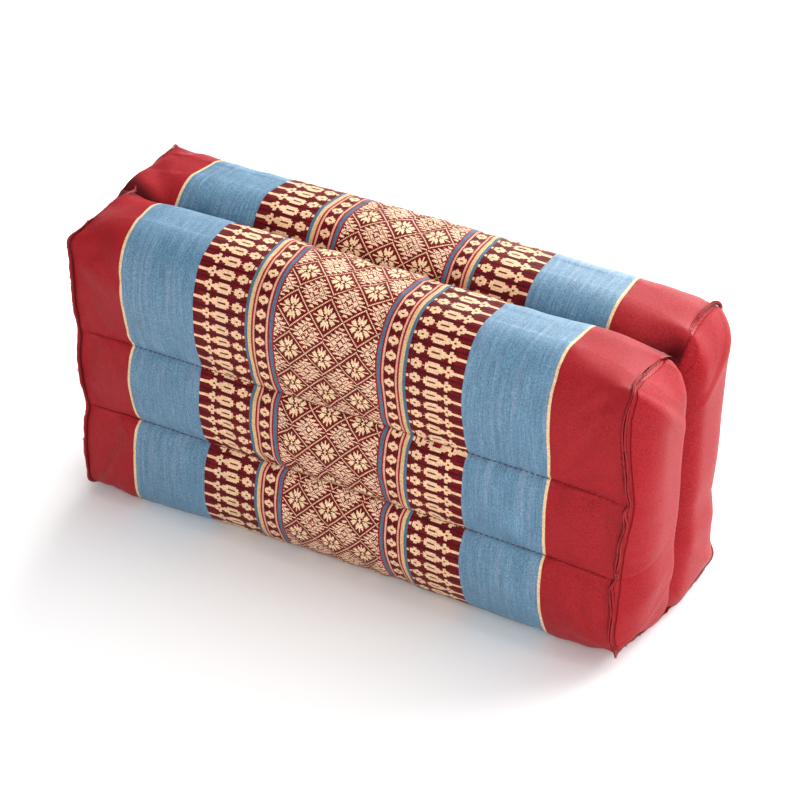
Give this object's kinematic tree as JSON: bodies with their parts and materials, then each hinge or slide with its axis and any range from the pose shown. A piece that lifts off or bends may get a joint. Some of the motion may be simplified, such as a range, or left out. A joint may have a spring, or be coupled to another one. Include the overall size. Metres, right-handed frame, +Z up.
{
  "type": "meditation cushion",
  "caption": "Block meditation cushion of firm sewn channels in striped woven cloth, with plain crowned end panels and pinched raised end seams.",
  "frame": {"origin": "on the surface it stands on, under the middle of its box", "axes": "+X along the length, towards the right end panel; the front face looks to -Y; +Z up"},
  "size_m": [0.3794, 0.1244, 0.186],
  "materials": {
    "woven_wrap": "matt woven cotton with stripes and small woven motifs",
    "end_cloth": "matt plain woven cotton",
    "end_seam_cloth": "matt plain woven cotton, folded and stitched"
  },
  "bodies": {
    "root": {"cushion": "woven_wrap", "end_panel_left": "end_cloth", "end_panel_right": "end_cloth", "end_seam_left": "end_seam_cloth", "end_seam_right": "end_seam_cloth"}
  },
  "joints": []
}
